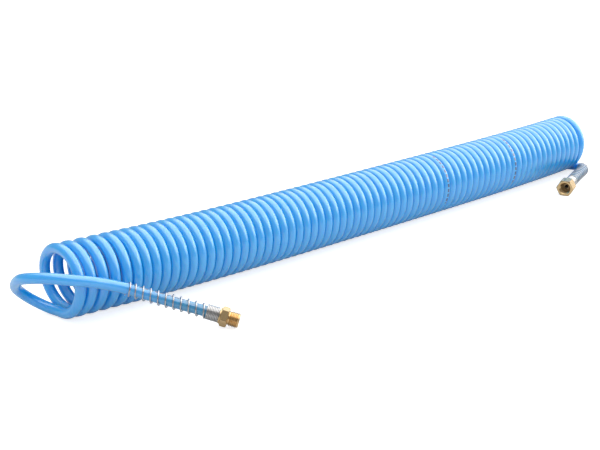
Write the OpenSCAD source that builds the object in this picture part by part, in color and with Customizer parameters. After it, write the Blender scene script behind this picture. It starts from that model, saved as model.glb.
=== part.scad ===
// A self-retracting air hose: one length of polyurethane tube wound into a long coil, with a straight
// tail at each end, a wire spring guard over each tail, a swivelling male thread at the near end and
// a union nut with a female thread at the far end. Lengths are in millimetres and +Z is up.
// The coil lies along X on the surface that it stands on, and both tails come round to its -Y side.

/* [Hose] */
// Outside diameter of the hose
hose_od = 9.5; // [8:0.1:10]
// Bore of the hose
hose_bore = 6.3; // [5:0.1:6.6]
// Number of turns in the coil
turns = 73; // [60:1:80]
// Outside diameter of the coil
coil_od = 64; // [60:1:72]
// Space between neighbouring turns
turn_gap = 0.1; // [0.05:0.05:0.5]

/* [Spring guards] */
// Wire diameter of a spring guard
wire_d = 1.3; // [0.8:0.1:1.4]
// Length of a spring guard
guard_length = 80; // [76:1:90]
// Open turns in the middle of a guard
open_turns = 10; // [8:1:13]
// Close-wound turns that grip the hose end
grip_turns = 10; // [6:1:10]
// Space between the hose and the wire
guard_clearance = 0.5; // [0.15:0.05:0.6]

/* [Hose ends] */
// Length of hose pushed over a stem
grip_length = 14; // [13.5:0.5:18]
// Number of barbs on a stem
barb_count = 4; // [3:1:5]
// Height of a barb above its stem
barb_height = 0.35; // [0.2:0.05:0.4]
// Air passage through a stem
passage_d = 4.4; // [3.5:0.1:4.8]
// Space left between a stem and the hose wall
seat_clearance = 0.02; // [0.01:0.01:0.04]

/* [Male swivel] */
// Width across the flats of the male hexagon
male_hex = 15; // [14:0.5:19]
// Length of the male hexagon
male_hex_length = 6.5; // [6:0.5:10]
// Length of the male thread
male_thread_length = 9.5; // [9:0.1:14]
// Diameter of the journal that the male body turns on
journal_d = 8.4; // [7.6:0.1:8.6]
// Length of the journal inside the male body
journal_length = 12; // [11:0.5:13]
// Thickness of the collar between the spring guard and the hexagon
collar_thickness = 1; // [0.8:0.1:2]

/* [Union nut] */
// Width across the flats of the union nut
nut_hex = 17; // [17:0.5:22]
// Length of the union nut
nut_length = 15; // [14.5:0.5:20]
// Thickness of the wall at the back of the nut
nut_wall = 3.5; // [3:0.1:5]
// Diameter of the neck that the nut turns on
neck_d = 8.2; // [7.6:0.1:8.6]
// Diameter of the seat that pulls the joint together
seat_d = 11; // [10:0.1:11]
// Thickness of the seat
seat_thickness = 2; // [1.5:0.1:2.5]
// Thickness of the seal washer
washer_thickness = 1.5; // [1:0.1:2]
// Bore of the seal washer
washer_bore = 5.5; // [5:0.1:7]
// Diameter of the stop collar behind the nut
stop_d = 13.6; // [12.6:0.1:14]
// Length of the stop collar
stop_length = 5.4; // [4:0.1:12]

/* [Fits] */
// Radial clearance of a turning fit
running_clearance = 0.05; // [0.02:0.01:0.08]
// End float of a turning piece
end_float = 0.2; // [0.1:0.05:0.3]
// Section diameter of the sealing ring
ring_section = 1; // [0.8:0.05:1.1]
// Wire diameter of the snap ring
snap_wire = 1.2; // [0.8:0.1:1.3]

/* [Hidden] */
// G 1/4 pipe thread
thread_major_d = 13.157;
thread_minor_d = 11.445;
thread_pitch = 1.337;
thread_land = 0.3;
thread_chamfer = 0.9;
// Plain neck behind the male thread, and run-in before the female one
thread_relief = 1.1;
thread_run_in = 0.6;

// Bevel on the edges of the collars
edge_bevel = 0.6;
// Depth of the nut's undercut beyond the bottom of its thread, and the washer's gap from the seat
undercut_depth = 0.15;
washer_gap = 0.05;
// Opening through the male body beyond its stem
body_passage_d = 6;
// Distances of the sealing ring and the snap ring from the journal's end
ring_setback = 7.4;
snap_setback = 2.4;
// Spare length in the grooves of the two rings
groove_room = 0.2;
// How much of the snap ring is cut away
snap_opening = 2;

turn_pitch = hose_od + turn_gap;
coil_length = turns * turn_pitch;
coil_radius = coil_od / 2;
winding_radius = coil_radius - hose_od / 2;
web = 2.4;

guard_radius = hose_od / 2 + guard_clearance + wire_d / 2;
guard_height = guard_radius + wire_d / 2 + 0.1;
grip_pitch = wire_d + 0.08;
end_pitch = wire_d + 0.25;
end_turns = 2;
guard_steps = 14;
wire_sides = 6;

stem_radius = hose_bore / 2;
barb_pitch = grip_length / (barb_count + 0.5);
chamfer_angle = 30;

male_bore = journal_d + 2 * running_clearance;
male_start = grip_length + collar_thickness + end_float;
male_length = male_hex_length + male_thread_length;
journal_end = grip_length + collar_thickness + journal_length;
ring_at = journal_end - ring_setback;
snap_at = journal_end - snap_setback;

nut_start = grip_length + stop_length + end_float;
seat_start = nut_start + nut_wall + end_float;
seat_end = seat_start + seat_thickness;
nut_bore = neck_d + 2 * running_clearance;
nut_room = thread_major_d + 2 * undercut_depth;
washer_start = seat_end + washer_gap;
female_start = washer_start + washer_thickness + thread_run_in;
nut_height = nut_hex / 2 + 0.1;

// Where the coil's near end lies, so that the origin is under the middle of the whole hose
near_x = -333.24;
coil_y = 41.71;
far_x = near_x + coil_length;

// The near tail lifts off the bottom of the first turn, loops over towards -Y and comes down
near_route = [
    [1, 5, hose_od / 2], [-4, 20, 6.4], [-16, 30, 15.5], [-29, 26, 29], [-34, 11, 41],
    [-33, -5, 47], [-24, -20, 49], [-10, -31, 47], [6, -37, 43], [20, -40, 38],
    [34, -46, 32.6], [45, -56, 28], [56, -67.6, 23.6], [67.5, -79.8, 19], [79, -92, 14.5]
];
near_leave = [0, 1, 0];
// The room for the tail at the bottom of the first turn: a tube's two ends and its width past the hose
near_cut = [[1.4, 3.2, 4.75], [-4.8, 21, 6.4]];
near_room = 1.7;
near_heading = [0.656, -0.707, -0.265];

// The far tail leaves the bottom of the last turn and bends back along the coil's -Y side
far_route = [
    [-2, 5, hose_od / 2], [-0.5, -7, 5.2], [0, -15, 6], [-2.6, -23.6, guard_height + 0.1],
    [-7.6, -29.8, 7], [-13.8, -33.6, 7.3], [-22, -37.1, 7.8], [-31.5, -41.1, 8.3],
    [-42, -45.5, nut_height], [-52, -49.7, nut_height], [-61.3, -53.6, nut_height]
];
far_leave = [0, -1, 0];
// The room for the tail and its guard at the bottom of the last turn
far_cut = [[-2.5, 5.3, 6.2], [-4.5, -32, 7]];
far_room = 1.7;
far_heading = [-0.922, -0.386, 0];

route_steps = 12;
tube_sides = 12;
tube_spacing = 9;

hose_blue = [0.30, 0.62, 0.93];
steel = [0.78, 0.79, 0.80];
brass = [0.80, 0.63, 0.32];
rubber = [0.12, 0.12, 0.12];

// ---- Curves ----

function unit(v) = v / norm(v);
function across(v, t) = v - (v * t) * t;

// A smooth curve through four points, at t from the second (0) to the third (1)
function smooth(a, b, c, d, t) =
    0.5 * (2 * b + (c - a) * t + (2 * a - 5 * b + 4 * c - d) * pow(t, 2)
        + (3 * b - a - 3 * c + d) * pow(t, 3));

// A route with one more point before its start and after its end, in line with its two headings
function with_ends(route, first, last) = concat(
    [route[1] - 2 * norm(route[1] - route[0]) * unit(first)],
    route,
    [route[len(route) - 2] + 2 * norm(route[len(route) - 1] - route[len(route) - 2]) * unit(last)]
);

function fine_path(p) = concat(
    [for (i = [1 : len(p) - 3], k = [0 : route_steps - 1])
        smooth(p[i - 1], p[i], p[i + 1], p[i + 2], k / route_steps)],
    [p[len(p) - 2]]
);

// Distance along a path at each of its points
function distances(path) = [
    for (i = 0, s = 0; i < len(path); s = s + norm(path[min(i + 1, len(path) - 1)] - path[i]), i = i + 1) s
];

function place_on(path, along, s) =
    let (
        i = len([for (d = along) if (d <= s) 1]) - 1,
        a = max(0, min(i, len(path) - 2)),
        f = (s - along[a]) / (along[a + 1] - along[a])
    ) path[a] + f * (path[a + 1] - path[a]);

function tangents(points) = [
    for (i = [0 : len(points) - 1])
        unit(points[min(i + 1, len(points) - 1)] - points[max(i - 1, 0)])
];

// A sideways direction at each point, carried along without twist
function sideways(tangent, first) = [
    for (i = 0, n = unit(across(first, tangent[0])); i < len(tangent);
        i = i + 1, n = i < len(tangent) ? unit(across(n, tangent[i])) : n) n
];

// Rings of a round bar around a line of points
function bar_rings(points, side, tangent, radius, sides) = [
    for (i = [0 : len(points) - 1], k = [0 : sides - 1])
        points[i] + radius * (cos(360 * k / sides) * side[i]
            + sin(360 * k / sides) * cross(tangent[i], side[i]))
];

function bar_faces(rings, sides) = concat(
    [[for (k = [0 : sides - 1]) k]],
    [for (i = [0 : rings - 2], k = [0 : sides - 1])
        [i * sides + k, (i + 1) * sides + k, (i + 1) * sides + (k + 1) % sides]],
    [for (i = [0 : rings - 2], k = [0 : sides - 1])
        [i * sides + k, (i + 1) * sides + (k + 1) % sides, i * sides + (k + 1) % sides]],
    [[for (k = [sides - 1 : -1 : 0]) (rings - 1) * sides + k]]
);

near_path = fine_path(with_ends(near_route, near_leave, near_heading));
far_path = fine_path(with_ends(far_route, far_leave, far_heading));

// ---- Building blocks ----

// Places a piece whose axis is +Z at a route's end, along its heading
module at_end(route, heading) {
    tip = route[len(route) - 1];
    flat = norm([heading.x, heading.y]);
    translate(tip) rotate([0, atan2(flat, heading.z), atan2(heading.y, heading.x)]) children();
}

module near_side() translate([near_x, coil_y, 0]) children();
module far_side() translate([far_x, coil_y, 0]) children();

// The straight tube between two points
module rod(a, b, radius) {
    d = b - a;
    translate(a) rotate([0, atan2(norm([d.x, d.y]), d.z), atan2(d.y, d.x)])
        cylinder(h = norm(d), r = radius, $fn = 48);
}

// A hose along a path, cut square to the headings first and last at its ends
module swept_hose(path, first, last) {
    along = distances(path);
    total = along[len(along) - 1];
    count = ceil(total / tube_spacing);
    points = [for (i = [0 : count]) place_on(path, along, total * i / count)];
    inner = tangents(points);
    tangent = [for (i = [0 : count]) i == 0 ? unit(first) : i == count ? unit(last) : inner[i]];
    side = sideways(tangent, [1, 0, 0.2]);
    polyhedron(bar_rings(points, side, tangent, hose_od / 2, tube_sides), bar_faces(count + 1, tube_sides));
}

// Distance along the guard after a number of turns, from its loose end to its grip
function guard_distance(turn) =
    let (
        loose = end_turns * end_pitch,
        open_pitch = (guard_length - loose - grip_turns * grip_pitch) / open_turns
    )
    turn < end_turns ? turn * end_pitch
        : turn < end_turns + open_turns ? loose + (turn - end_turns) * open_pitch
        : loose + open_turns * open_pitch + (turn - end_turns - open_turns) * grip_pitch;

// A helical wire around a hose path that runs on straight past the path's end
module spring_guard(path, heading) {
    last = len(path) - 1;
    full = concat(path, [path[last] + (grip_length + 2) * unit(heading)]);
    along = distances(full);
    start = along[last] + grip_length - guard_length - wire_d / 2 - seat_clearance;
    all_turns = end_turns + open_turns + grip_turns;
    count = all_turns * guard_steps;
    s = [for (i = [0 : count]) start + guard_distance(i / guard_steps)];
    core = [for (x = s) place_on(full, along, x)];
    core_tangent = [for (x = s) unit(place_on(full, along, x + 1.5) - place_on(full, along, x - 1.5))];
    core_side = sideways(core_tangent, [1, 0, 0.2]);
    radial = [for (i = [0 : count])
        cos(360 * i / guard_steps) * core_side[i]
            + sin(360 * i / guard_steps) * cross(core_tangent[i], core_side[i])];
    wire = [for (i = [0 : count]) core[i] + guard_radius * radial[i]];
    wire_tangent = tangents(wire);
    wire_side = [for (i = [0 : count]) unit(across(radial[i], wire_tangent[i]))];
    polyhedron(
        bar_rings(wire, wire_side, wire_tangent, wire_d / 2, wire_sides),
        bar_faces(count + 1, wire_sides)
    );
}

// Outline of a barbed stem from its free end at 0, wider all round by grow
function barb_outline(grow) = [
    for (i = [0 : barb_count - 1], tip = [0, 1])
        [stem_radius + grow + tip * barb_height, barb_pitch * (i + 0.35 + tip * 0.65)]
];

module barbed_shank() {
    rotate_extrude($fn = 64)
        polygon(concat(
            [[passage_d / 2, 0], [stem_radius, 0]], barb_outline(0),
            [[stem_radius, barb_count * barb_pitch], [stem_radius, grip_length],
                [passage_d / 2, grip_length]]
        ));
}

module hose_end() {
    rotate_extrude($fn = 64)
        polygon(concat(
            [[hose_od / 2, 0], [stem_radius + seat_clearance, 0]], barb_outline(seat_clearance),
            [[stem_radius + seat_clearance, barb_count * barb_pitch],
                [stem_radius + seat_clearance, grip_length], [hose_od / 2, grip_length]]
        ));
}

// A hexagonal bar with its corners turned off at both ends
module turned_hexagon(flats, length) {
    corner = flats / cos(30) / 2;
    rise = (corner - flats / 2) * tan(chamfer_angle);
    intersection() {
        rotate([0, 0, 30]) cylinder(h = length, r = corner, $fn = 6);
        rotate_extrude($fn = 96)
            polygon([[0, 0], [flats / 2 - 0.2, 0], [corner, rise + 0.1],
                [corner, length - rise - 0.1], [flats / 2 - 0.2, length], [0, length]]);
    }
}

// V grooves with flat lands between them, cut from radius outer to radius inner
module thread_grooves(outer, inner, from, to) {
    count = floor((to - from) / thread_pitch);
    half = (thread_pitch - thread_land) / 2;
    clear = outer + sign(outer - inner) * groove_room;
    for (i = [0 : count - 1])
        translate([0, 0, from + (i + 0.5) * thread_pitch])
            rotate_extrude($fn = 96)
                polygon([[clear, -half], [outer, -half], [inner, 0], [outer, half], [clear, half]]);
}

// ---- Hose ----

module hose_coil() {
    color(hose_blue) translate([near_x, coil_y, coil_radius])
        difference() {
            rotate([0, 90, 0]) rotate_extrude($fn = 72) {
                for (i = [0 : turns - 1])
                    translate([winding_radius, (i + 0.5) * turn_pitch]) circle(d = hose_od, $fn = 32);
                translate([winding_radius - web / 2, turn_pitch / 2])
                    square([web, coil_length - turn_pitch]);
            }
            // Room at the bottom of the first and last turns, where the tails run on
            translate([0, 0, -coil_radius]) rod(near_cut[0], near_cut[1], hose_od / 2 + near_room);
            translate([coil_length, 0, -coil_radius])
                rod(far_cut[0], far_cut[1], guard_radius + wire_d / 2 + far_room);
        }
}

module near_hose_tail() color(hose_blue) near_side() swept_hose(near_path, near_leave, near_heading);
module far_hose_tail() color(hose_blue) far_side() swept_hose(far_path, far_leave, far_heading);
module near_hose_end() color(hose_blue) near_side() at_end(near_route, near_heading) hose_end();
module far_hose_end() color(hose_blue) far_side() at_end(far_route, far_heading) hose_end();

// ---- Spring guards ----

module near_spring_guard() color(steel) near_side() spring_guard(near_path, near_heading);
module far_spring_guard() color(steel) far_side() spring_guard(far_path, far_heading);

// ---- Male swivel ----

// A square groove in a shaft's outline
function groove(radius, depth, at, length) = [
    [radius, at - length / 2], [radius - depth, at - length / 2],
    [radius - depth, at + length / 2], [radius, at + length / 2]
];

module male_stem_solid() {
    journal = journal_d / 2;
    collar = male_hex / 2 - edge_bevel;
    barbed_shank();
    rotate_extrude($fn = 64)
        polygon(concat(
            [[passage_d / 2, grip_length], [collar, grip_length], [collar, grip_length + collar_thickness],
                [journal, grip_length + collar_thickness]],
            groove(journal, ring_section, ring_at, ring_section + 2 * groove_room),
            groove(journal, snap_wire / 2, snap_at, snap_wire + groove_room),
            [[journal, journal_end], [passage_d / 2, journal_end]]
        ));
}

module male_stem() color(brass) near_side() at_end(near_route, near_heading) male_stem_solid();

module male_sealing_ring()
    color(rubber) near_side() at_end(near_route, near_heading)
        translate([0, 0, ring_at]) rotate_extrude($fn = 64)
            translate([journal_d / 2 - ring_section / 2 + running_clearance / 2, 0])
                circle(d = ring_section, $fn = 24);

// An open ring of wire, half in the stem's groove and half in the body's
module male_snap_ring()
    color(steel) near_side() at_end(near_route, near_heading)
        translate([0, 0, snap_at]) difference() {
            rotate_extrude($fn = 64)
                translate([journal_d / 2 + seat_clearance, 0])
                    circle(d = snap_wire - 4 * seat_clearance, $fn = 24);
            translate([0, -snap_opening / 2, -snap_wire]) cube([journal_d, snap_opening, 2 * snap_wire]);
        }

module male_swivel_body()
    color(brass) near_side() at_end(near_route, near_heading) translate([0, 0, male_start])
        difference() {
            union() {
                turned_hexagon(male_hex, male_hex_length);
                translate([0, 0, male_hex_length]) rotate_extrude($fn = 96)
                    polygon([
                        [0, -1], [thread_minor_d / 2, -1], [thread_minor_d / 2, thread_relief],
                        [thread_major_d / 2, thread_relief + thread_chamfer],
                        [thread_major_d / 2, male_thread_length - thread_chamfer],
                        [thread_major_d / 2 - thread_chamfer, male_thread_length], [0, male_thread_length]
                    ]);
            }
            thread_grooves(thread_major_d / 2, thread_minor_d / 2,
                male_hex_length + thread_relief + thread_chamfer, male_length - thread_chamfer);
            translate([0, 0, -1])
                cylinder(h = journal_end + end_float - male_start + 1, d = male_bore, $fn = 64);
            translate([0, 0, -1]) cylinder(h = male_length + 2, d = body_passage_d, $fn = 48);
            translate([0, 0, snap_at - male_start]) rotate_extrude($fn = 64)
                polygon(groove(male_bore / 2 - groove_room, -(snap_wire / 2 + groove_room), 0,
                    snap_wire + groove_room));
        }

// ---- Union nut end ----

module union_stem()
    color(brass) far_side() at_end(far_route, far_heading) {
        barbed_shank();
        rotate_extrude($fn = 64)
            polygon([
                [passage_d / 2, grip_length], [neck_d / 2, grip_length], [neck_d / 2, seat_start],
                [seat_d / 2, seat_start], [seat_d / 2, seat_end], [passage_d / 2, seat_end]
            ]);
    }

module stop_collar()
    color(brass) far_side() at_end(far_route, far_heading) translate([0, 0, grip_length])
        rotate_extrude($fn = 96)
            polygon([
                [neck_d / 2, 0], [stop_d / 2 - edge_bevel, 0], [stop_d / 2, edge_bevel],
                [stop_d / 2, stop_length - edge_bevel], [stop_d / 2 - edge_bevel, stop_length],
                [neck_d / 2, stop_length]
            ]);

module union_seal_washer()
    color(rubber) far_side() at_end(far_route, far_heading) translate([0, 0, washer_start])
        rotate_extrude($fn = 64)
            translate([washer_bore / 2, 0]) square([(seat_d - washer_bore) / 2, washer_thickness]);

module union_nut()
    color(brass) far_side() at_end(far_route, far_heading) translate([0, 0, nut_start])
        difference() {
            turned_hexagon(nut_hex, nut_length);
            translate([0, 0, -1]) cylinder(h = nut_wall + 2, d = nut_bore, $fn = 64);
            translate([0, 0, nut_wall])
                cylinder(h = female_start - nut_start - nut_wall, d = nut_room, $fn = 64);
            translate([0, 0, nut_wall]) cylinder(h = nut_length, d = thread_minor_d, $fn = 64);
            thread_grooves(thread_minor_d / 2, thread_major_d / 2,
                female_start - nut_start + thread_land, nut_length - thread_chamfer);
            translate([0, 0, nut_length - thread_chamfer])
                cylinder(h = thread_chamfer + 0.01, d1 = thread_minor_d,
                    d2 = thread_minor_d + 2 * thread_chamfer + 0.02, $fn = 96);
        }

hose_coil();
near_hose_tail();
near_hose_end();
near_spring_guard();
male_stem();
male_sealing_ring();
male_snap_ring();
male_swivel_body();
far_hose_tail();
far_hose_end();
far_spring_guard();
union_stem();
stop_collar();
union_seal_washer();
union_nut();
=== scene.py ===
# %% [markdown]
# # A coiled air hose
# A self-retracting air hose is one long plastic tube, wound while warm round a bar so that it springs
# back into a coil. A straight tail leaves each end of the coil, a wire spring stops the tail from
# kinking, and a brass fitting screws it to the tool or the next hose.
#
# The engineering model is loaded first. It is already at its real size and it never moves, so that
# every surface made here can be placed on it without any fitting.

import math

import bpy
import numpy as np
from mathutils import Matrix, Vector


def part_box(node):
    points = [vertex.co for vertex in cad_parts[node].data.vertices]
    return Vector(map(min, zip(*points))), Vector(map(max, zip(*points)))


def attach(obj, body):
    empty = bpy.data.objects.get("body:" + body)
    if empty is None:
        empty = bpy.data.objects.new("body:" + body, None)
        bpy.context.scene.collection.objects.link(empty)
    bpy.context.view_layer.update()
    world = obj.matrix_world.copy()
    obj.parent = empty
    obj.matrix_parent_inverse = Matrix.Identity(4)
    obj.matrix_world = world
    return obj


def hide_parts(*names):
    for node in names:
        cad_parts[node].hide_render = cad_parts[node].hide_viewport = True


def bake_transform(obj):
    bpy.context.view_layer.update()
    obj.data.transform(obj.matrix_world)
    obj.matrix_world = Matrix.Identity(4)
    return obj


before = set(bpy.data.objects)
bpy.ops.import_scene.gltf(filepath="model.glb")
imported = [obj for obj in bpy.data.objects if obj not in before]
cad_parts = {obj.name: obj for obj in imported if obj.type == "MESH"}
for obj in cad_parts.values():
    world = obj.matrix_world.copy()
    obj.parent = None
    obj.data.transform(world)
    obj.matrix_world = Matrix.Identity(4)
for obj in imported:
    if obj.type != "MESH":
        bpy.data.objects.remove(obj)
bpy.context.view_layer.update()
scene = bpy.context.scene

# %% [markdown]
# ## Sizes
# Each size is read from the frame where the frame holds it, so that the looks follow the engineering
# model. The rest are the hose maker's own sizes, in millimetres.

# %% Sizes of the hose and its guards
MM = 0.001
HOSE_RADIUS = 4.73 * MM
BORE_RADIUS = 3.52 * MM
GRIP = 14 * MM
TURN_GAP = 0.1 * MM
TURNS = 73

coil_low, coil_high = (np.array(corner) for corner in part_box("hose_coil"))
near_x = coil_low[0] - TURN_GAP / 2
far_x = coil_high[0] + TURN_GAP / 2
coil_y = (coil_low[1] + coil_high[1]) / 2
coil_radius = (coil_high[2] - coil_low[2]) / 2
hose_height = 4.75 * MM
winding_radius = coil_radius - hose_height
print("coil from", near_x, "to", far_x, "radius", coil_radius)

# %% [markdown]
# ## The camera
# A camera could be aimed with a constraint, but three numbers say the same thing plainly: where it
# stands, how far it looks down, and how far it is turned from the +Y direction. It stands a measured
# way off the coil's near end. A lens nearly as long as a portrait lens keeps the far end of the coil
# from shrinking too much.

# %% Camera
CAMERA_OFF = (-504.0 * MM, -863.6 * MM, 412.8 * MM)
LOOKING_DOWN = 18.52
TURNED = -41.86
LENS = 74.68

camera = bpy.data.objects.new("camera", bpy.data.cameras.new("camera"))
scene.collection.objects.link(camera)
camera.location = (near_x + CAMERA_OFF[0], coil_y + CAMERA_OFF[1], CAMERA_OFF[2])
camera.rotation_euler = (math.radians(90 - LOOKING_DOWN), 0, math.radians(TURNED))
camera.data.sensor_width = 36
camera.data.lens = LENS
scene.camera = camera
print("camera at", tuple(camera.location))

# %% [markdown]
# ## The hose's line
# The tails are free curves, and their points are the ones that the engineering model follows. They
# could be drawn as Bezier curves by hand. A Catmull-Rom curve is simpler, because it passes through
# every point that is given to it, and it can be worked out for all of its spans at once.

# %% Curve through points
def unit(vectors):
    """Each vector divided by its own length."""
    return vectors / np.linalg.norm(vectors, axis=-1, keepdims=True)


def curve_through(points, first, last, steps):
    """A Catmull-Rom curve: each span is the cubic whose slope at a point is half the chord between
    that point's two neighbours. One more point at each end, along first and last, sets the end slopes."""
    p = np.array(points, float) * MM
    lead = p[1] - 2 * np.linalg.norm(p[1] - p[0]) * unit(np.array(first, float))
    trail = p[-2] + 2 * np.linalg.norm(p[-1] - p[-2]) * unit(np.array(last, float))
    p = np.vstack([lead, p, trail])
    a, b, c, d = (p[i:len(p) - 3 + i, None, :] for i in range(4))
    t = np.arange(steps)[None, :, None] / steps
    spans = 0.5 * (2 * b + (c - a) * t + (2 * a - 5 * b + 4 * c - d) * t**2
                   + (3 * b - a - 3 * c + d) * t**3)
    return np.vstack([spans.reshape(-1, 3), p[-2]])


NEAR_LEAVE = (0, 1, 0)
NEAR_HEADING = (0.656, -0.707, -0.265)
NEAR_ROUTE = [
    (1, 5, 4.75), (-4, 20, 6.4), (-16, 30, 15.5), (-29, 26, 29), (-34, 11, 41),
    (-33, -5, 47), (-24, -20, 49), (-10, -31, 47), (6, -37, 43), (20, -40, 38),
    (34, -46, 32.6), (45, -56, 28), (56, -67.6, 23.6), (67.5, -79.8, 19), (79, -92, 14.5),
]
FAR_LEAVE = (0, -1, 0)
FAR_HEADING = (-0.922, -0.386, 0)
FAR_ROUTE = [
    (-2, 5, 4.75), (-0.5, -7, 5.2), (0, -15, 6), (-2.6, -23.6, 6.75), (-7.6, -29.8, 7),
    (-13.8, -33.6, 7.3), (-22, -37.1, 7.8), (-31.5, -41.1, 8.3), (-42, -45.5, 8.6),
    (-52, -49.7, 8.6), (-61.3, -53.6, 8.6),
]
near_origin = np.array([near_x, coil_y, 0])
far_origin = np.array([far_x, coil_y, 0])
near_tail = near_origin + curve_through(NEAR_ROUTE, NEAR_LEAVE, NEAR_HEADING, 8)
far_tail = far_origin + curve_through(FAR_ROUTE, FAR_LEAVE, FAR_HEADING, 6)
near_axis = unit(np.array(NEAR_HEADING, float))
far_axis = unit(np.array(FAR_HEADING, float))
print("tail points:", len(near_tail), len(far_tail))

# %% [markdown]
# The coil is a helix. A perfect one looks lifeless: a real coil bows where it lies, its first turns
# are wider, stand apart and lean back because the tail pulls on them, and its last turn leans out.
# Each of these is one more term in the helix's formula.

# %% Line of the coil
RINGS_PER_TURN = 56
BOW = 11.0 * MM
BOW_SKEW = 2.2 * MM
BOW_FLAT = 8.3 * MM
END_OFFSET = 5 * MM
FIRST_SPREAD = 7.1 * MM
SPREAD_TURNS = 5.5
FIRST_LEAN = 5.6 * MM
LEAN_TURNS = 4
LAST_LEAN = 3.5 * MM
WIDER = 0.25 * MM
WIDER_FIRST = 0.9 * MM
WIDER_TURNS = 16


def ease(x):
    """Rises smoothly from 0 to 1 as x goes from 0 to 1, as 3x2 - 2x3."""
    x = np.clip(x, 0, 1)
    return x * x * (3 - 2 * x)


def coil_line(turn):
    """A left-handed helix. It goes along X by a pitch per turn, with a spread added over the first
    turns, a lean at the back of the first few and one at the top of the last. Its centre follows a
    parabola with a cubic skew and a fourth-power flattening, and its radius falls off along it."""
    start, end = near_tail[0][0], far_tail[0][0]
    pitch = (end - start - FIRST_SPREAD) / TURNS
    angle = 2 * np.pi * turn
    first_lean = FIRST_LEAN * (1 - ease(turn / LEAN_TURNS)) * (1 - np.sin(angle)) / 2 * ease(2 * turn)
    last_lean = LAST_LEAN * (1 - np.cos(angle)) / 2 * (turn > TURNS - 1)
    x = start + pitch * turn + FIRST_SPREAD * ease(turn / SPREAD_TURNS) - first_lean + last_lean
    s = 2 * turn / TURNS - 1
    bow = END_OFFSET - BOW * (1 - s**2) - BOW_SKEW * (s**3 - s) - BOW_FLAT * (s**2 - s**4)
    wider = WIDER + WIDER_FIRST * np.exp(-turn / WIDER_TURNS)
    radius = winding_radius + wider
    y = coil_y + bow - radius * np.sin(angle)
    z = coil_radius + wider - radius * np.cos(angle)
    return np.stack([x, y, z], axis=-1)


turn = np.arange(1, TURNS * RINGS_PER_TURN) / RINGS_PER_TURN
coil = coil_line(turn)
coil_outward = np.stack([0 * turn, -np.sin(2 * np.pi * turn), -np.cos(2 * np.pi * turn)], axis=-1)
print("coil points:", len(coil))

# %% [markdown]
# ## A tube along a line
# Blender's curves can be given a round bevel, and that is the quick way to a hose. It leaves no say
# in where the rings lie or how the pattern runs, so here the tube is a grid of two parameters: the
# ring along the line and the angle round it. The grid's own numbers become its UV map, one unit a
# metre along the hose and one unit once round it.

# %% Tube surface
def tangents(line):
    """Each point's direction: the chord from the point before it to the point after it."""
    ahead = np.vstack([line[1:], 2 * line[-1] - line[-2]])
    behind = np.vstack([2 * line[0] - line[1], line[:-1]])
    return unit(ahead - behind)


def distances(line):
    """How far along the line each point lies."""
    return np.concatenate([[0], np.cumsum(np.linalg.norm(np.diff(line, axis=0), axis=1))])


def tube_points(line, outward, radius, sides):
    """Ring i is a circle: the line's point plus radius times (cos a * side + sin a * across), where
    side is the outward hint made square to the line and across is square to both."""
    along = tangents(line)
    side = unit(outward - np.sum(outward * along, axis=1, keepdims=True) * along)
    across = np.cross(along, side)
    a = 2 * np.pi * np.arange(sides) / sides
    circle = np.cos(a)[None, :, None] * side[:, None, :] + np.sin(a)[None, :, None] * across[:, None, :]
    return line[:, None, :] + np.reshape(radius, (-1, 1, 1)) * circle


def grid_mesh(name, grid, along, ends="closed", smooth_below=40):
    """A mesh over a grid of rings. Neighbouring rings are joined by four-sided faces. The ends are
    closed by fans, or the last ring is joined to the first. UV is (along, turn round the ring)."""
    rings, sides = grid.shape[:2]
    last = rings if ends == "joined" else rings - 1
    i, k = np.meshgrid(np.arange(last), np.arange(sides), indexing="ij")
    i2, k2 = (i + 1) % rings, (k + 1) % sides
    quads = np.stack([i * sides + k, i * sides + k2, i2 * sides + k2, i2 * sides + k], axis=-1)
    lengths = np.append(along, along[-1])
    u = np.stack([lengths[i], lengths[i], lengths[i + 1], lengths[i + 1]], axis=-1)
    v = np.stack([k, k + 1, k + 1, k], axis=-1) / sides
    corners, starts = quads.reshape(-1), np.arange(quads.size // 4) * 4
    uv = np.stack([u.reshape(-1), v.reshape(-1)], axis=-1)
    points = grid.reshape(-1, 3)
    if ends == "closed":
        middles = np.array([grid[0].mean(0), grid[-1].mean(0)])
        first, final = len(points), len(points) + 1
        points = np.vstack([points, middles])
        k = np.arange(sides)
        k2 = (k + 1) % sides
        tail = (rings - 1) * sides
        fans = np.vstack([
            np.stack([k2, k, np.full(sides, first)], axis=-1),
            np.stack([tail + k, tail + k2, np.full(sides, final)], axis=-1),
        ])
        starts = np.append(starts, len(corners) + np.arange(len(fans)) * 3)
        corners = np.append(corners, fans.reshape(-1))
        fan_u = np.repeat([along[0], along[-1]], 3 * sides)
        fan_v = np.tile(np.stack([k, k + 1, k + 0.5], axis=-1).reshape(-1) / sides, 2)
        uv = np.vstack([uv, np.stack([fan_u, fan_v], axis=-1)])
    mesh = bpy.data.meshes.new(name)
    mesh.vertices.add(len(points))
    mesh.vertices.foreach_set("co", points.astype(np.float32).reshape(-1))
    mesh.loops.add(len(corners))
    mesh.loops.foreach_set("vertex_index", corners.astype(np.int32))
    mesh.polygons.add(len(starts))
    mesh.polygons.foreach_set("loop_start", starts.astype(np.int32))
    mesh.uv_layers.new(name="surface").data.foreach_set("uv", uv.astype(np.float32).reshape(-1))
    mesh.update(calc_edges=True)
    mesh.validate()
    mesh.shade_smooth()
    mesh.set_sharp_from_angle(angle=math.radians(smooth_below))
    piece = bpy.data.objects.new(name, mesh)
    scene.collection.objects.link(piece)
    return piece


# %% [markdown]
# ## The hose
# The whole hose is one tube, 13 metres long. It starts on the near fitting's stem, runs through the
# near tail, the 73 turns and the far tail, and ends on the far fitting's stem. At both ends the
# surface turns in round the cut edge and lines the bore as far as the stem reaches.

# %% One tube from fitting to fitting
HOSE_SIDES = 20
GRIP_RINGS = 6

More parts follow.
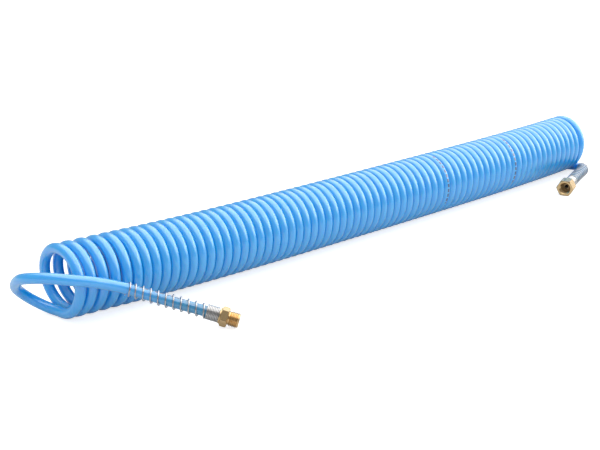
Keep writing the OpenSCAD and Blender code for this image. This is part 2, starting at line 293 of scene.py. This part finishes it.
grip = GRIP * np.arange(1, GRIP_RINGS + 1)[:, None] / GRIP_RINGS
near_grip = near_tail[-1] + grip[::-1] * near_axis
far_grip = far_tail[-1] + grip * far_axis
hose_line = np.vstack([near_grip, near_tail[::-1], coil, far_tail, far_grip])
near_rings = len(near_grip) + len(near_tail)
far_rings = len(far_tail) + len(far_grip)
down = np.array([0, 0, -1.0])
hose_outward = np.vstack([np.tile(down, (near_rings, 1)), coil_outward, np.tile(down, (far_rings, 1))])
hose_along = distances(hose_line)
hose_length = float(hose_along[-1])
outside = tube_points(hose_line, hose_outward, HOSE_RADIUS, HOSE_SIDES)
print(f"hose: {hose_length:.3f} m, {len(hose_line)} rings")


# %% Lining of the gripped ends
def lining(rings, line, radius):
    """The outside rings moved in to another radius round the same line."""
    return line[:, None, :] + (rings - line[:, None, :]) * radius / HOSE_RADIUS


near_lining = lining(outside[:GRIP_RINGS + 1], hose_line[:GRIP_RINGS + 1], BORE_RADIUS)[::-1]
far_lining = lining(outside[-GRIP_RINGS - 1:], hose_line[-GRIP_RINGS - 1:], BORE_RADIUS)[::-1]
hose_grid = np.concatenate([near_lining, outside, far_lining])
hose_u = np.concatenate([hose_along[:GRIP_RINGS + 1][::-1], hose_along,
                         hose_along[-GRIP_RINGS - 1:][::-1]])
hose = grid_mesh("hose", hose_grid, hose_u)
print("hose triangles:", sum(len(p.vertices) - 2 for p in hose.data.polygons))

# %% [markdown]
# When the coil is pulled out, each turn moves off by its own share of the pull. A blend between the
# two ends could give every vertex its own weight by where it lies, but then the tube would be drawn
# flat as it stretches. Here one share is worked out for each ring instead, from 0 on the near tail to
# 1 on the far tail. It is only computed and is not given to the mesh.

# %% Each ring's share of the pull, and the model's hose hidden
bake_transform(hose)
share = np.clip((hose_line[:, 0] - near_tail[0][0]) / (far_tail[0][0] - near_tail[0][0]), 0, 1)
share[:near_rings] = 0
share[-far_rings:] = 1
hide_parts("hose_coil", "near_hose_tail", "near_hose_end", "far_hose_tail", "far_hose_end")

# %% [markdown]
# ## Spring guards
# A guard is a helix of wire round the tail: a closer turn at its loose end, open turns where the
# tail may bend, and close turns that grip the hose over the stem. The wire's line is the tail's line
# plus a radius that turns round it, and the same tube surface is then carried along the wire.

# %% Wire line of a guard
WIRE_RADIUS = 0.65 * MM
GUARD_RADIUS = 5.9 * MM
GUARD_LENGTH = 80 * MM
GUARD_TURNS = [0, 1, 11, 19]
GUARD_REACH = [0, 3.4, 69.2, 80]
WIRE_RINGS_PER_TURN = 32
WIRE_SIDES = 12
LOOK_AHEAD = 1.5 * MM


def at_distance(line, s):
    """The points at distances s along a line, straight between its points."""
    along = distances(line)
    return np.stack([np.interp(s, along, line[:, axis]) for axis in range(3)], axis=-1)


def guard_line(tail, axis):
    """The tail's line plus GUARD_RADIUS times (cos a * side + sin a * across). Angle a grows by a
    full turn per turn of wire, and the distance along the tail follows the guard's own pitch."""
    full = np.vstack([tail, tail[-1] + np.outer([GRIP / 2, GRIP, 2 * GRIP], axis)])
    end = distances(tail)[-1] + GRIP - WIRE_RADIUS
    turns = np.arange(GUARD_TURNS[-1] * WIRE_RINGS_PER_TURN + 1) / WIRE_RINGS_PER_TURN
    reach = np.interp(turns, GUARD_TURNS, np.array(GUARD_REACH) * MM)
    s = end - GUARD_LENGTH + reach
    core = at_distance(full, s)
    along = unit(at_distance(full, s + LOOK_AHEAD) - at_distance(full, s - LOOK_AHEAD))
    side = unit(down - np.sum(down * along, axis=1, keepdims=True) * along)
    across = np.cross(along, side)
    angle = 2 * np.pi * turns
    radial = np.cos(angle)[:, None] * side + np.sin(angle)[:, None] * across
    return core + GUARD_RADIUS * radial, radial


def rounded_ends(count, radius, rings=3):
    """Radius of each ring of a wire: full, and falling as a quarter circle over the end rings."""
    step = np.minimum(np.arange(count), np.arange(count)[::-1])
    return radius * np.sqrt(1 - (1 - np.clip((step + 0.5) / rings, 0, 1)) ** 2)


def spring_guard(name, tail, axis, body, node):
    """A guard as a tube along its wire's line, riding on a body in place of a node."""
    wire, radial = guard_line(tail, axis)
    radius = rounded_ends(len(wire), WIRE_RADIUS)
    piece = grid_mesh(name, tube_points(wire, radial, radius, WIRE_SIDES), distances(wire))
    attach(piece, body)
    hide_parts(node)
    print(name, "wire length", round(distances(wire)[-1], 3))
    return piece


near_spring = spring_guard("near_spring", near_tail, near_axis, "hose", "near_spring_guard")
far_spring = spring_guard("far_spring", far_tail, far_axis, "far_end", "far_spring_guard")

# %% [markdown]
# ## Turned pieces
# Both fittings are turned from hexagonal bar. Such a piece could be cut with booleans, but a turned
# surface is a profile carried round an axis, and a hexagon only makes the radius depend on the
# angle. Where the lathe's cone meets a flat the edge is a curve, so a row of the grid follows it.

# %% Profile round an axis
ROUND_STEPS = 96
SHOULDER = 0.25
CONE_SLOPE = math.tan(math.radians(30))
GATHERED = 0.01
round_angle = 2 * np.pi * np.arange(ROUND_STEPS) / ROUND_STEPS
print("steps round a turned piece:", ROUND_STEPS)


def row(radius, height):
    """One ring of a turned piece: a radius and a height for each angle, in millimetres."""
    ones = np.ones(ROUND_STEPS)
    return np.stack([radius * ones, height * ones], axis=-1)


def hexagon_rows(flats, low, high):
    """Rows up the outside of a hexagonal bar between two faces. Its radius is half the flats over
    the cosine of the angle from the nearest flat. Each end is cut back by a cone from a circle."""
    from_flat = (round_angle % (np.pi / 3)) - np.pi / 6
    radius = flats / 2 / np.cos(from_flat)
    circle = flats / 2 - SHOULDER
    cut = (radius - circle) * CONE_SLOPE
    return [row(circle, low), row(radius, low + cut), row(radius, high - cut), row(circle, high)]


def thread_rows(low, high, crest, root, pitch, fade):
    """Rows along a thread. Each row is a helix: its height grows by one pitch round the piece. The
    radius follows a rounded V from root to crest, faded to the root near both ends. Rows that would
    pass an end are gathered there, a hair apart, so that no two points meet."""
    steps = np.array([0, 0.12, 0.38, 0.5, 0.62, 0.88])
    shape = np.array([0, 0.1, 0.9, 1, 0.9, 0.1])
    turns = math.ceil((high - low) / pitch) + 1
    start = np.arange(-1, turns)[:, None] + steps
    rows = []
    for begin, part in zip(start.reshape(-1), np.tile(shape, turns + 1)):
        height = low + pitch * (begin + round_angle / (2 * np.pi))
        amount = ease((height - low) / fade) * ease((high - height) / fade)
        inside = np.clip(height, low, high)
        rows.append(row(root + (crest - root) * part * amount, inside + GATHERED * (height - inside)))
    return rows


def place(rows, start, axis):
    """Turned rows stood up on a line: radius times a turning direction plus height times the axis."""
    r, h = (np.array(rows)[..., i, None] * MM for i in range(2))
    side = unit(np.cross(axis, [0, 0, 1]))
    up = np.cross(axis, side)
    turning = np.cos(round_angle)[:, None] * side + np.sin(round_angle)[:, None] * up
    return start + r * turning + h * axis


def turned_piece(name, rows, start, axis, body, node):
    """A closed turned surface along an axis, riding on a body in place of a node."""
    grid = place(rows, start, axis)
    piece = grid_mesh(name, grid, distances(grid[:, 0]), ends="joined", smooth_below=28)
    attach(piece, body)
    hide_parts(node)
    return piece


# %% [markdown]
# ### The male swivel body
# The near fitting's body turns on its stem, so that screwing it in doesn't twist the hose. Behind is
# the spanner's hexagon, in front a quarter-inch pipe thread with a bevelled start.

# %% Male body
PIPE_MAJOR = 6.5785
PIPE_MINOR = 5.7225
PIPE_PITCH = 1.337
MALE_START = 15.2
MALE_HEX = 15
MALE_HEX_LENGTH = 6.5
MALE_LENGTH = 16.0
MALE_BORE = 3.0
BORE_BEVEL = 0.4
JOURNAL_ROOM = 4.25
JOURNAL_DEPTH = 12
CHAMFER = 0.3

male_rows = (
    [row(JOURNAL_ROOM, JOURNAL_DEPTH), row(JOURNAL_ROOM, CHAMFER), row(JOURNAL_ROOM + CHAMFER, 0)]
    + hexagon_rows(MALE_HEX, 0, MALE_HEX_LENGTH)
    + [row(PIPE_MINOR + SHOULDER, MALE_HEX_LENGTH), row(PIPE_MINOR, MALE_HEX_LENGTH + SHOULDER)]
    + thread_rows(MALE_HEX_LENGTH + 0.9, MALE_LENGTH - CHAMFER, PIPE_MAJOR, PIPE_MINOR, PIPE_PITCH, 1.0)
    + [row(PIPE_MINOR - SHOULDER, MALE_LENGTH), row(MALE_BORE + BORE_BEVEL, MALE_LENGTH),
       row(MALE_BORE, MALE_LENGTH - BORE_BEVEL), row(MALE_BORE, JOURNAL_DEPTH)]
)
male_body = turned_piece("male_body", male_rows, near_tail[-1] + MALE_START * MM * near_axis, near_axis,
                         "male_swivel", "male_swivel_body")
print("male body points:", len(male_body.data.vertices))

# %% [markdown]
# ### The union nut
# The far fitting is a loose nut with the same thread inside. It is a hexagon outside and a stepped
# bore inside, and the profile goes round both in one closed loop.

# %% Union nut
NUT_START = 19.6
NUT_HEX = 17
NUT_LENGTH = 15
NUT_WALL = 3.5
UNDERCUT = 6.73
THREAD_START = 7.85
NECK_ROOM = 4.15

nut_rows = (
    [row(NECK_ROOM, NUT_WALL), row(NECK_ROOM, CHAMFER), row(NECK_ROOM + CHAMFER, 0)]
    + hexagon_rows(NUT_HEX, 0, NUT_LENGTH)
    + [row(PIPE_MINOR + 0.9, NUT_LENGTH), row(PIPE_MINOR + 0.1, NUT_LENGTH - 0.8)]
    + thread_rows(THREAD_START, NUT_LENGTH - 0.9, PIPE_MAJOR, PIPE_MINOR, PIPE_PITCH, 0.8)[::-1]
    + [row(UNDERCUT, THREAD_START - 0.2), row(UNDERCUT, NUT_WALL)]
)
union_nut = turned_piece("nut", nut_rows, far_tail[-1] + NUT_START * MM * far_axis, far_axis,
                         "nut", "union_nut")
print("nut points:", len(union_nut.data.vertices))

# %% [markdown]
# ## Finishes
# A few finishes dress the whole hose: the plastic, the spring wire, the brass and the seals. Each is
# built from shader nodes, so a small helper that makes a node and joins it keeps them readable.

# %% Node helpers
def new_finish(name, **settings):
    """A material with one Principled shader, its sockets set by name."""
    finish = bpy.data.materials.new(name)
    finish.use_nodes = True
    shader = finish.node_tree.nodes["Principled BSDF"]
    for socket, value in settings.items():
        shader.inputs[socket.replace("_", " ")].default_value = value
    return finish, shader


def node(finish, kind, inputs=None, **settings):
    """A shader node in a finish or in the sky. inputs gives a value, or the socket to join, for each
    of its inputs."""
    made = finish.node_tree.nodes.new(kind)
    for name, value in settings.items():
        setattr(made, name, value)
    for name, value in (inputs or {}).items():
        if isinstance(value, bpy.types.NodeSocket):
            finish.node_tree.links.new(value, made.inputs[name])
        else:
            made.inputs[name].default_value = value
    return made


def math_node(finish, operation, first, second=0.0):
    """One step of arithmetic on one or two values, such as a sum or a comparison."""
    return node(finish, "ShaderNodeMath", {0: first, 1: second}, operation=operation).outputs[0]


def mix_colour(finish, amount, first, second):
    """The first colour where amount is 0, the second where it is 1."""
    made = node(finish, "ShaderNodeMix", {0: amount, 6: first, 7: second}, data_type="RGBA")
    return made.outputs[2]


def noise(finish, where, scale, detail):
    """Cloudy noise between 0 and 1 at a place, finer as scale grows."""
    made = node(finish, "ShaderNodeTexNoise", {"Vector": where, "Scale": scale, "Detail": detail})
    return made.outputs["Fac"]


def raise_bump(finish, shader, height, strength, depth):
    """Tilts the shader's normals as if the surface rose by up to depth, in metres, with height."""
    bump = node(finish, "ShaderNodeBump", {"Height": height, "Strength": strength, "Distance": depth})
    finish.node_tree.links.new(bump.outputs[0], shader.inputs["Normal"])


# %% [markdown]
# ### Hose plastic
# Polyurethane is glossy and lets a little light in, so its shadows stay blue rather than black. The
# shader's subsurface part does that. Its colour and its printed dashes are worked out from the hose's
# own UV map, whose first number is the distance along the hose in metres.

# %% Hose finish
HOSE_BLUE = (0.022, 0.43, 0.92, 1)
HOSE_DEEP = (0.012, 0.40, 0.89, 1)
# The next colour is painted shade for the hose's ends, over the stems and under the spring guards.
END_SHADE_BLUE = (0.001, 0.27, 0.52, 1)
PRINT_BLUE = (0.0, 0.07, 0.20, 1)
CLOUD_SCALE = 60.0
RIPPLE_SCALE = 400.0
RIPPLE_STRENGTH = 0.05
RIPPLE_DEPTH = 0.2 * MM

plastic, shader = new_finish("hose_plastic", Roughness=0.3, IOR=1.5, Subsurface_Weight=0.7,
                             Subsurface_Scale=0.006, Coat_Weight=1.0, Coat_Roughness=0.22, Coat_IOR=2.0)
shader.inputs["Subsurface Radius"].default_value = (0.3, 0.7, 1.0)
where = node(plastic, "ShaderNodeTexCoord").outputs["Object"]
uv = node(plastic, "ShaderNodeUVMap", uv_map="surface").outputs[0]
split = node(plastic, "ShaderNodeSeparateXYZ", {0: uv})
metres, turned = split.outputs[0], split.outputs[1]
tint = mix_colour(plastic, noise(plastic, where, CLOUD_SCALE, detail=3.0), HOSE_BLUE, HOSE_DEEP)
print("hose colours:", HOSE_BLUE[:3], HOSE_DEEP[:3])

# %% [markdown]
# Over its stems and under its spring guards the hose is painted a deeper, greener blue. This is painted
# shade for the brass inside, which lets no light through, and for the guard's wire. A map range node
# turns the distance along the hose into that painted shade at each end.

# %% Painted shade over the stems and guards
END_SHADE_FROM = 0.085
END_SHADE_FULL = 0.02


def rising(finish, value, low, high):
    """0 where value is below low, 1 where it is above high, and smooth between."""
    return node(finish, "ShaderNodeMapRange", {"Value": value, "From Min": low, "From Max": high},
                interpolation_type="SMOOTHSTEP").outputs[0]


near_painted_shade = math_node(plastic, "SUBTRACT", 1.0, rising(plastic, metres, END_SHADE_FULL, END_SHADE_FROM))
far_painted_shade = rising(plastic, metres, hose_length - END_SHADE_FROM, hose_length - END_SHADE_FULL)
# Painted shade: the hose's ends turn to a darker blue over the stems and under the spring guards.
tint = mix_colour(plastic, math_node(plastic, "MAXIMUM", near_painted_shade, far_painted_shade), tint, END_SHADE_BLUE)
print("stem tint fades out", END_SHADE_FROM, "m from each end")

# %% [markdown]
# A short dashed line comes round every two metres. The hose is wound with half a twist in it, so the
# line faces inwards on the first turns and outwards on the last ones. A compare node gives 1 where its
# first value is no further from the second than the third, and that keeps the print off both ends.

# %% Print line
PRINT_EVERY = 2.075
PRINT_FROM = 0.027
PRINT_TO = 11.0
PRINT_LENGTH = 0.052
DASH_EVERY = 0.0045
DASH_SHARE = 0.72
PRINT_WIDTH = 0.085
TWIST_FROM = 7.0
TWIST_TO = 8.0


def below(finish, value, limit):
    """1 where value is below limit, else 0."""
    return math_node(finish, "LESS_THAN", value, limit)


def part_of(finish, value, every):
    """How far value has gone into its present stretch of length every, as a share from 0 to 1."""
    return math_node(finish, "FRACT", math_node(finish, "DIVIDE", value, every))


printed = math_node(plastic, "SUBTRACT", metres, PRINT_FROM)
group = below(plastic, part_of(plastic, printed, PRINT_EVERY), PRINT_LENGTH / PRINT_EVERY)
dash = below(plastic, part_of(plastic, metres, DASH_EVERY), DASH_SHARE)
within = node(plastic, "ShaderNodeMath", {0: metres, 1: PRINT_TO / 2, 2: PRINT_TO / 2 - PRINT_FROM},
              operation="COMPARE").outputs[0]
twist = math_node(plastic, "MULTIPLY", rising(plastic, metres, TWIST_FROM, TWIST_TO), 0.5)
round_hose = math_node(plastic, "FRACT", math_node(plastic, "ADD", turned, twist))
line = below(plastic, math_node(plastic, "ABSOLUTE", math_node(plastic, "SUBTRACT", round_hose, 0.5)),
             PRINT_WIDTH / 2)
print_mark = math_node(plastic, "MULTIPLY", math_node(plastic, "MULTIPLY", group, dash),
                       math_node(plastic, "MULTIPLY", line, within))
colour = mix_colour(plastic, print_mark, tint, PRINT_BLUE)
plastic.node_tree.links.new(colour, shader.inputs["Base Color"])
raise_bump(plastic, shader, noise(plastic, where, RIPPLE_SCALE, detail=2.0),
           RIPPLE_STRENGTH, RIPPLE_DEPTH)
hose.data.materials.append(plastic)
print("hose finish:", len(plastic.node_tree.nodes), "nodes")

# %% [markdown]
# ### Metals and seals
# Drawn wire carries fine lines along its length and turned brass has fine rings round it. Both are
# noise that is squeezed in one direction of the UV map. The metal pieces that come with the engineering
# model have no such map, so they take an even noise on Object coordinates.

# %% Metal finishes
SMOOTHEST = 0.7
ROUGHEST = 1.4
LINE_STRENGTH = 0.3
LINE_DEPTH = 0.05 * MM


def metal(name, pale, dark, roughness, squeeze, coordinates):
    """A metal whose noise is squeezed by a factor in each direction. The noise varies its colour and
    its roughness and is a shallow bump."""
    finish, shader = new_finish(name, Metallic=1.0)
    where = node(finish, "ShaderNodeTexCoord").outputs[coordinates]
    fine = node(finish, "ShaderNodeMapping", {"Vector": where, "Scale": squeeze})
    lines = noise(finish, fine.outputs[0], 1.0, detail=4.0)
    colour = mix_colour(finish, lines, pale, dark)
    finish.node_tree.links.new(colour, shader.inputs["Base Color"])
    rough = node(finish, "ShaderNodeMapRange", {"Value": lines, "To Min": roughness * SMOOTHEST,
                                                "To Max": roughness * ROUGHEST})
    finish.node_tree.links.new(rough.outputs[0], shader.inputs["Roughness"])
    raise_bump(finish, shader, lines, LINE_STRENGTH, LINE_DEPTH)
    return finish


BRASS_PALE = (0.84, 0.64, 0.38, 1)
BRASS_DARK = (0.66, 0.44, 0.19, 1)
STEEL_PALE = (0.66, 0.65, 0.64, 1)
STEEL_DARK = (0.50, 0.50, 0.50, 1)

ALONG_THE_WIRE = (300.0, 40.0, 1.0)
ROUND_THE_PIECE = (4000.0, 3.0, 1.0)
EVEN = (900.0, 900.0, 900.0)

wire_steel = metal("spring_wire", STEEL_PALE, STEEL_DARK, 0.25, ALONG_THE_WIRE, "UV")
turned_brass = metal("turned_brass", BRASS_PALE, BRASS_DARK, 0.22, ROUND_THE_PIECE, "UV")
plain_brass = metal("plain_brass", BRASS_PALE, BRASS_DARK, 0.25, EVEN, "Object")
plain_steel = metal("plain_steel", STEEL_PALE, STEEL_DARK, 0.3, EVEN, "Object")
for piece, finish in [(near_spring, wire_steel), (far_spring, wire_steel), (male_body, turned_brass),
                      (union_nut, turned_brass)]:
    piece.data.materials.append(finish)
print("metals:", [finish.name for finish in (wire_steel, turned_brass, plain_brass, plain_steel)])

# %% [markdown]
# The sealing ring is plain black rubber with a fine grain. The washer in the nut's mouth is a brown
# one with darker flecks. The engineering model's own pieces stay as they are and only take a finish.

# %% Rubber finishes
RUBBER_BLACK = (0.02, 0.02, 0.022, 1)
WASHER_BROWN = (0.34, 0.22, 0.09, 1)
WASHER_FLECK = (0.24, 0.14, 0.05, 1)
GRAIN_SCALE = 3000.0
GRAIN_STRENGTH = 0.2
GRAIN_DEPTH = 0.1 * MM
FLECK_SCALE = 2500.0

rubber, shader = new_finish("seal_rubber", Base_Color=RUBBER_BLACK, Roughness=0.6)
where = node(rubber, "ShaderNodeTexCoord").outputs["Object"]
raise_bump(rubber, shader, noise(rubber, where, GRAIN_SCALE, detail=2.0),
           GRAIN_STRENGTH, GRAIN_DEPTH)

washer, shader = new_finish("washer_rubber", Roughness=0.7)
where = node(washer, "ShaderNodeTexCoord").outputs["Object"]
colour = mix_colour(washer, noise(washer, where, FLECK_SCALE, detail=4.0), WASHER_BROWN, WASHER_FLECK)
washer.node_tree.links.new(colour, shader.inputs["Base Color"])

CAD_FINISHES = {
    "male_stem": plain_brass, "union_stem": plain_brass, "stop_collar": plain_brass,
    "male_snap_ring": plain_steel, "male_sealing_ring": rubber, "union_seal_washer": washer,
}
for name, finish in CAD_FINISHES.items():
    cad_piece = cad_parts[name]
    cad_piece.data.materials.clear()
    cad_piece.data.materials.append(finish)
print("dressed:", sorted(CAD_FINISHES))

# %% [markdown]
# ## The hose's length
# The hose's whole length, from one fitting's stem to the other's, is printed.

print("declared", round(hose_length, 3), "m of hose")

# %% [markdown]
# ## Floor and light
# The hose lies on a plain floor under two broad soft lamps, with a pale sky all round. The floor's own
# colour is a pale grey. A stronger light could whiten it, but that would wash out the hose too. A glow
# that the camera sees whitens the floor alone, and the floor still takes the hose's shadow. Reflections
# see only a trace of that glow, so that the undersides of the turns stay blue.

# %% Floor
FLOOR_HALF = 6.0
FLOOR_GLOW = 0.72
FLOOR_SHINE = 0.05
FLOOR_GREY = (0.62, 0.62, 0.62, 1)

corners = np.array([(-1, -1, 0), (1, -1, 0), (1, 1, 0), (-1, 1, 0)]) * FLOOR_HALF
floor_mesh = bpy.data.meshes.new("floor")
floor_mesh.from_pydata(corners.tolist(), [], [(0, 1, 2, 3)])
floor = bpy.data.objects.new("floor", floor_mesh)
scene.collection.objects.link(floor)
paint, shader = new_finish("floor_paint", Base_Color=FLOOR_GREY, Roughness=0.9)
rays = node(paint, "ShaderNodeLightPath")
seen = math_node(paint, "MAXIMUM", rays.outputs["Is Camera Ray"], rays.outputs["Is Transmission Ray"])
shone = math_node(paint, "MULTIPLY", rays.outputs["Is Glossy Ray"], FLOOR_SHINE)
glow = math_node(paint, "ADD", math_node(paint, "MULTIPLY", seen, FLOOR_GLOW), shone)
shader.inputs["Emission Color"].default_value = (1, 1, 1, 1)
paint.node_tree.links.new(glow, shader.inputs["Emission Strength"])
floor.data.materials.append(paint)
print("floor half width:", FLOOR_HALF, "m")

# %% [markdown]
# The sky could be one plain white. Here it has a strength of its own for each kind of ray: white to
# the camera, a little less as light on the hose, and in reflections a broad gleam high on one side
# with a dimmer rest. The gleam is what draws the pale sheen along the tops of the turns.

# %% World
SKY_LIGHT = 0.95
SKY_SHINE = 0.32
SKY_GLEAM = 1.7
GLEAM_FROM = (0.55, -0.05, 0.83)
GLEAM_EDGE = 0.45
GLEAM_FULL = 0.75

sky = bpy.data.worlds.new("sky")
scene.world = sky
sky.use_nodes = True
background = sky.node_tree.nodes["Background"]
background.inputs["Color"].default_value = (1, 1, 1, 1)
rays = node(sky, "ShaderNodeLightPath").outputs
direction = node(sky, "ShaderNodeTexCoord").outputs["Generated"]
facing = node(sky, "ShaderNodeVectorMath", {0: direction, 1: GLEAM_FROM}, operation="DOT_PRODUCT")
gleam = rising(sky, facing.outputs["Value"], GLEAM_EDGE, GLEAM_FULL)
gleam = math_node(sky, "ADD", math_node(sky, "MULTIPLY", gleam, SKY_GLEAM - SKY_SHINE), SKY_SHINE)
seen = math_node(sky, "MAXIMUM", rays["Is Camera Ray"], rays["Is Transmission Ray"])
lit = math_node(sky, "MULTIPLY", rays["Is Diffuse Ray"], SKY_LIGHT)
shone = math_node(sky, "MULTIPLY", rays["Is Glossy Ray"], gleam)
strength = math_node(sky, "MAXIMUM", math_node(sky, "MAXIMUM", seen, lit), shone)
sky.node_tree.links.new(strength, background.inputs["Strength"])
print("sky:", SKY_LIGHT, "as light,", SKY_SHINE, "to", SKY_GLEAM, "in reflections")

# %% [markdown]
# Two lamps round the turns off: a wide one on the right and a square one overhead, behind the coil.
# Each is set by how bright its face is, and its power follows from that and its size.

# %% Lamps
def soft_lamp(name, place, target, width, height, brightness):
    """A rectangular lamp that faces a point. Its power is its brightness times pi times its area."""
    lamp = bpy.data.lights.new(name, "AREA")
    lamp.shape = "RECTANGLE"
    lamp.size, lamp.size_y = width, height
    lamp.energy = brightness * math.pi * width * height
    stand = bpy.data.objects.new(name, lamp)
    scene.collection.objects.link(stand)
    stand.location = place
    direction = np.array(target, float) - np.array(place, float)
    flat = math.hypot(direction[0], direction[1])
    stand.rotation_euler = (math.atan2(flat, -direction[2]), 0,
                            math.atan2(direction[1], direction[0]) - math.pi / 2)
    return stand


lamps = [
    soft_lamp("side_lamp", place=(1.9, -0.9, 0.95), target=(0.1, 0, 0),
              width=3.0, height=1.5, brightness=1.1),
    soft_lamp("top_lamp", place=(0.5, 0.5, 1.6), target=(0.5, 0.499, 0),
              width=3.0, height=3.0, brightness=0.45),
]
print("lamps:", [lamp.name for lamp in lamps])

# %% [markdown]
# ## Finish
# The colours are shown as they are, with no film curve.

# %% Colour view
scene.view_settings.view_transform = "Standard"
